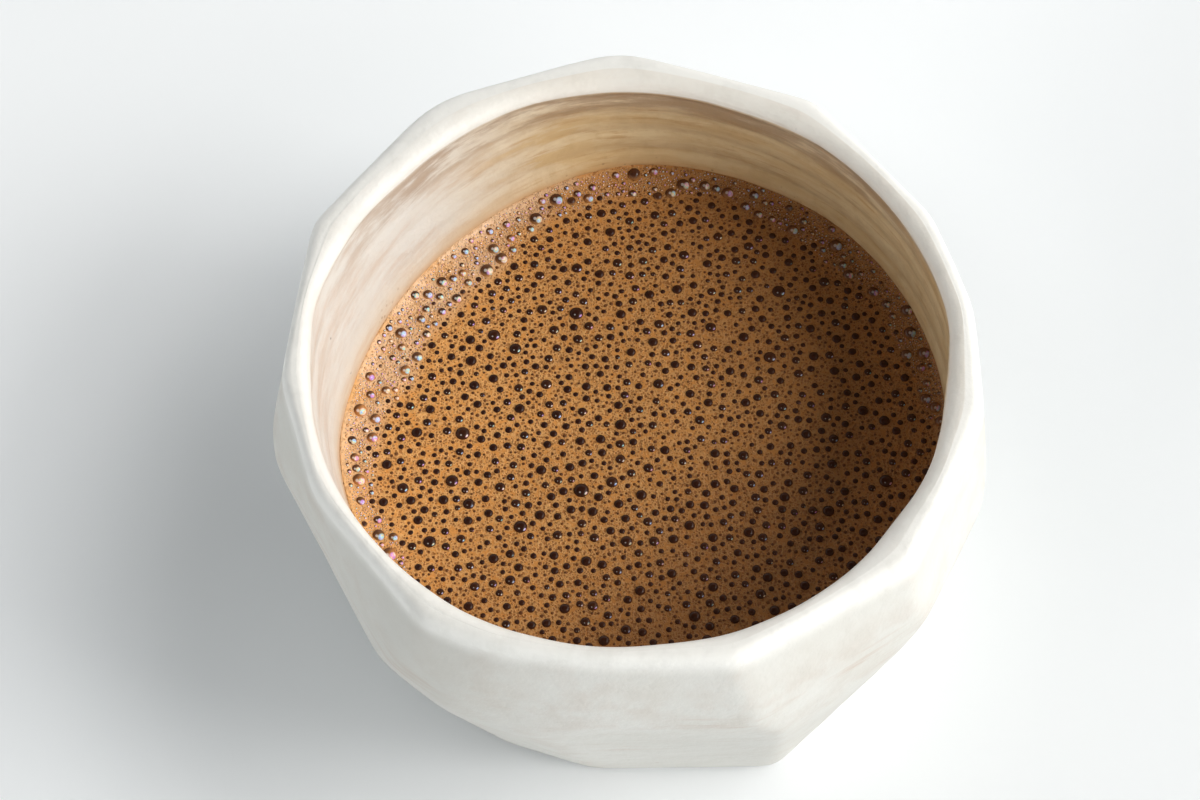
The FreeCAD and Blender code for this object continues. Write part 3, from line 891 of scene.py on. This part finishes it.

# %% [markdown]
# ## The bubbles' finish
# A bubble is a clear skin over dark drink, so it is nearly black, with a warm foot where the
# skin thickens. The window shows in some of them as a glint, on the skin that faces the low
# right, and the thin film splits it into pink, blue and gold. Real lamps would put the same
# glint on every bubble, so it is painted, on a share of them: a mask tells where the skin
# faces one way, and each bubble's own random shade picks its colours. The clear beads by the
# wall have a wide painted glint, froth shining through, and a painted shade: a dark crescent
# on the side away from the window. Painted shade darkens all the skins toward the froth's
# shaded right, as it does the froth, and fewer glints show there.

# %% Colours of the skins
DARK = ((0.028, 0.0095, 0.006), (0.085, 0.030, 0.012))      # the heart and the foot of a bubble
BROWN = ((0.130, 0.050, 0.018), (0.33, 0.140, 0.042))
PORE = ((0.30, 0.120, 0.035), (0.52, 0.235, 0.070))
AMBER = ((0.045, 0.016, 0.009), (0.50, 0.24, 0.09))
PALE = ((0.78, 0.46, 0.22), (0.62, 0.28, 0.085))
SHINING_FROTH = (0.66, 0.27, 0.075)
CRESCENT_SHADE = (0.085, 0.028, 0.010)
WARM_RIM = (0.62, 0.27, 0.075)
SHADED_SKIN = (0.10, 0.030, 0.010)
SECOND_GLINT = (0.92, 0.88, 0.85)
FILM_COLOURS = [
    (0.0, (0.20, 0.38, 0.98)), (0.16, (0.80, 0.88, 1.0)), (0.32, (0.62, 0.30, 0.92)),
    (0.46, (0.98, 0.40, 0.52)), (0.58, (0.98, 0.93, 0.86)), (0.72, (0.98, 0.62, 0.28)),
    (0.86, (0.35, 0.84, 0.84)), (1.0, (0.80, 0.90, 1.0)),
]
GLINT_TURN = -42
SECOND_TURN, SECOND_TILT, SECOND_SPREAD = -112, 22, 0.4
CRESCENT = (138, 58, 60)      # turn, tilt and spread in degrees


# %% The bubbles' finishes
def glint(facing, turn, tilt, spread):
    """A mask where the skin faces one way: a turn and a tilt from upright, in degrees."""
    turn, tilt = math.radians(turn), math.radians(tilt)
    x, y, z = facing.out("X"), facing.out("Y"), facing.out("Z")
    aim = (x * (math.sin(tilt) * math.cos(turn)) + y * (math.sin(tilt) * math.sin(turn))
           + z * math.cos(tilt))
    return aim.above(math.cos(math.radians(spread * 1.25)), math.cos(math.radians(spread * 0.6)))


def film_glints(skin, facing, shade, colour, tilt, spread, share, deep):
    """The window's painted glint in the film's colours, and a small pale painted one beside it.
    Fewer show where the painted shade is deep.
    """
    swirl = skin.noise(1300, 2) * 1.5 + shade * 7
    film = skin.add("ShaderNodeValToRGB", {"stops": FILM_COLOURS}, (swirl * 1.3).math("FRACT"))
    # fewer painted glints show where the painted shade is deep
    shown = shade.above(1 - share, 1.12 - share) * (1 - 0.5 * deep)
    lit = glint(facing, GLINT_TURN, tilt, spread)
    colour = skin.mix(lit * shown * 0.9, colour, film)
    second = glint(facing, SECOND_TURN, SECOND_TILT, spread * SECOND_SPREAD)
    return skin.mix(second * shown * 0.5, colour, SECOND_GLINT)


def bubble_finish(name, heart, foot, tilt, spread, share, ior=1.25, amber=0.0):
    """A clear skin over dark drink, with painted shade toward the froth's shaded right. The
    window's painted glint leans by tilt, reaches spread degrees over the skin, and shows on a
    share of the bubbles. amber is how much the froth behind the clear ones shows; those also
    get a painted shade crescent."""
    skin = Finish(name, Roughness=0.10, IOR=ior)
    facing = skin.add("ShaderNodeSeparateXYZ", None, skin.add("ShaderNodeNewGeometry").out("Normal"))
    shade = skin.attribute("shade")
    colour = skin.mix(facing.out("Z").below(0.25, 0.80), heart, foot)
    colour = skin.mix(shade.above(0.5, 1.0) * 0.30, colour, foot)
    if amber:
        thin = (shade * 7.3).math("FRACT").above(0.45, 0.95) * amber
        colour = skin.mix(thin, colour, SHINING_FROTH)
        # painted shade: a dark crescent on the side of each bead away from the window
        colour = skin.mix(glint(facing, *CRESCENT) * 0.85, colour, CRESCENT_SHADE)
    colour = skin.mix(facing.out("Z").below(0.12, 0.34) * 0.6, colour, WARM_RIM)
    # painted shade: the skins darken toward the froth's shaded right, as the froth does
    deep = painted_shade_side(skin)
    colour = skin.mix(deep * (0.4 + amber), colour, SHADED_SKIN)
    if spread:
        colour = film_glints(skin, facing, shade, colour, tilt, spread, share, deep)
    return skin.wear(Base_Color=colour)


# %% Every kind of bubble on the froth
# kind, sides, rings, flatness, sink, then the finish: colours, tilt, spread, share, IOR, amber
KINDS = [
    ("large", 20, 12, 0.60, 0.02, (*DARK, 46, 12, 1.0)),
    ("middle", 14, 8, 0.60, 0.02, (*DARK, 46, 13, 0.5)),
    ("lesser", 11, 7, 0.55, 0.02, (*DARK, 44, 14, 0.10)),
    ("small", 9, 6, 0.50, 0.02, (*BROWN, 0, 0, 0)),
    ("pores", 7, 5, 0.40, 0.02, (*PORE, 0, 0, 0)),
    ("wall", 14, 8, 0.75, 0.0, (*AMBER, 45, 30, 0.96, 1.35, 0.65)),
    ("fizz", 7, 6, 0.85, 0.0, (*PALE, 30, 30, 0.6, 1.5, 0.4)),
]
for kind, sides, rings, flatness, sink, look in KINDS:
    finish = bubble_finish("skin_" + kind, *look)
    set_bubbles("bubbles_" + kind, places[kind], sides, rings, flatness, sink, finish)

# %% [markdown]
# ## The drink below
# The liquid is the frame's own solid. It shows only where something lifts the froth, but it
# has a finish like everything else: brown, with a slow marbling of milk.

# %% The liquid's finish
LATTE_BROWN = (0.16, 0.062, 0.022)
LATTE_MILKY = (0.24, 0.10, 0.036)


def latte_finish():
    drink = Finish("latte", Roughness=0.12, IOR=1.34)
    cloud = drink.noise(45, 5).above(0.35, 0.7)
    colour = drink.mix(cloud, LATTE_BROWN, LATTE_MILKY)
    return drink.wear(Base_Color=colour, Roughness=0.10 + 0.06 * drink.noise(90, 2))


latte_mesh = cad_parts["latte"].data
latte_mesh.materials.clear()
latte_mesh.materials.append(latte_finish())
print("latte:", len(latte_mesh.polygons), "faces of the solid, kept as they are")

# %% [markdown]
# ## The table
# The cup stands on a plain pale table. Away from the cup, and less so toward the window, the
# table is painted paler with light that only the camera sees, so it lights nothing.

# %% The table
TABLE_PALE = (0.86, 0.885, 0.90)
TABLE_PALER = (0.89, 0.91, 0.925)
NO_FLOOR_LIGHT, FULL_FLOOR_LIGHT = (0.0, 0.0, 0.0), (1.0, 1.0, 1.0)
# painted light on the table, seen by the camera alone
FLOOR_LIGHT = 0.15                               # how much paler the camera sees the far table
FLOOR_LIGHT_START, FLOOR_LIGHT_END = 0.062, 0.092       # metres from the axis
TABLE_SIZE = 5.0


def table_finish():
    top = Finish("table", Roughness=0.6, Emission_Strength=1.0)
    tone = top.noise(9, 2).above(0.3, 0.7)
    colour = top.mix(tone, TABLE_PALE, TABLE_PALER)
    x, y, _ = top.axes()
    away = (x * x + y * y).math("SQRT")
    toward_window = (x * 0.9 - y * 0.5).above(-0.02, 0.06)
    # painted light: none near the cup, so its shadow stays dark, and less toward the window
    level = FLOOR_LIGHT * away.above(FLOOR_LIGHT_START, FLOOR_LIGHT_END) * (1 - 0.85 * toward_window)
    seen = top.add("ShaderNodeLightPath").out("Is Camera Ray")
    return top.wear(Base_Color=colour, Emission_Color=top.mix(seen * level, NO_FLOOR_LIGHT, FULL_FLOOR_LIGHT))


bpy.ops.mesh.primitive_plane_add(size=TABLE_SIZE, location=(0, 0, 0))
table = bpy.context.object
table.name = "table_top"
table.data.materials.append(table_finish())
print("table:", TABLE_SIZE, "m square")

# %% [markdown]
# ## Light
# A wide window to the right does most of the work: it is low enough that the cup's right wall
# shades that half of the froth, and the cup's own shadow falls softly to the left. A brighter
# pane in it and a small lamp overhead give the wet skins their sharp highlights, and two pale
# walls, on the left and behind, send some of the light back. The room's own walls are bright
# and its ceiling is dim, so the froth, deep in the cup, gets little light from above.

# %% The lamps
# name, direction and rise in degrees, distance, width and height in metres, radiance, colour
LAMPS = [
    ("window", -9, 40, 2.2, 3.8, 1.25, 2.75, (1.0, 0.99, 0.965)),
    ("pane", -16, 40, 2.1, 0.75, 0.85, 8.1, (1.0, 0.985, 0.95)),
    ("overhead", -95, 76, 0.85, 0.10, 0.10, 3.0, (1.0, 1.0, 1.0)),
    ("white_wall", 186, 15, 2.0, 3.0, 0.9, 0.65, (0.97, 1.0, 1.0)),
    ("far_wall", 82, 26, 2.0, 3.0, 0.9, 0.75, (1.0, 0.99, 0.97)),
]


def soft_light(name, turn, rise, away, width, height, radiance, colour):
    """A flat lamp that faces the froth, placed by its direction and its distance."""
    turn, rise = math.radians(turn), math.radians(rise)
    level = math.cos(rise)
    outward = Vector((level * math.cos(turn), level * math.sin(turn), math.sin(rise)))
    lamp = bpy.data.lights.new(name, "AREA")
    lamp.shape, lamp.size, lamp.size_y = "RECTANGLE", width, height
    lamp.energy, lamp.color = radiance * math.pi * width * height, colour
    holder = bpy.data.objects.new(name, lamp)
    holder.location = outward * away + Vector((0, 0, SURFACE * MM))
    holder.rotation_euler = outward.to_track_quat("Z", "Y").to_euler()
    bpy.context.collection.objects.link(holder)
    print(f"{name}: {lamp.energy:.1f} W")


for lamp in LAMPS:
    soft_light(*lamp)

# %% The room around
ROOM_WALLS, ROOM_CEILING = (1.08, 1.13, 1.16, 1.0), (0.05, 0.051, 0.052, 1.0)
WALLS_END, CEILING_START = 0.22, 0.60      # how high a ray looks: 0 is level, 1 straight up


def studio_world():
    """Bright walls and a dim ceiling: the colour depends only on how high a ray looks."""
    world = bpy.data.worlds.new("studio")
    world.use_nodes = True
    nodes, links = world.node_tree.nodes, world.node_tree.links
    height = nodes.new("ShaderNodeSeparateXYZ")
    links.new(nodes.new("ShaderNodeTexCoord").outputs["Generated"], height.inputs[0])
    ramp = nodes.new("ShaderNodeValToRGB")
    low, high = ramp.color_ramp.elements
    low.position, low.color = WALLS_END, ROOM_WALLS
    high.position, high.color = CEILING_START, ROOM_CEILING
    links.new(height.outputs["Z"], ramp.inputs[0])
    links.new(ramp.outputs[0], nodes["Background"].inputs["Color"])
    return world


bpy.context.scene.world = studio_world()
print("room:", bpy.context.scene.world.name)

# %% [markdown]
# ## The camera
# It looks down steeply into the cup through a long lens, as someone at the table would.

# %% The camera
VIEW_ELEVATION = math.radians(59.3)
VIEW_DISTANCE = 0.2998                   # from the middle of the mouth
LENS, SENSOR_WIDTH = 72.0, 36.0          # millimetres
SHIFT = (-0.0297, -0.0476)               # shares of the frame's width
NEAREST = 0.01
lens = bpy.data.cameras.new("camera")
lens.lens, lens.sensor_width = LENS, SENSOR_WIDTH
lens.shift_x, lens.shift_y = SHIFT
lens.clip_start = NEAREST
camera = bpy.data.objects.new("camera", lens)
camera.location = (0, -VIEW_DISTANCE * math.cos(VIEW_ELEVATION),
                   TOP * MM + VIEW_DISTANCE * math.sin(VIEW_ELEVATION))
camera.rotation_euler = (math.pi / 2 - VIEW_ELEVATION, 0, 0)
bpy.context.collection.objects.link(camera)
bpy.context.scene.camera = camera
bpy.context.scene.view_settings.view_transform = "Standard"
print(f"camera {camera.location.z:.3f} m above the table")
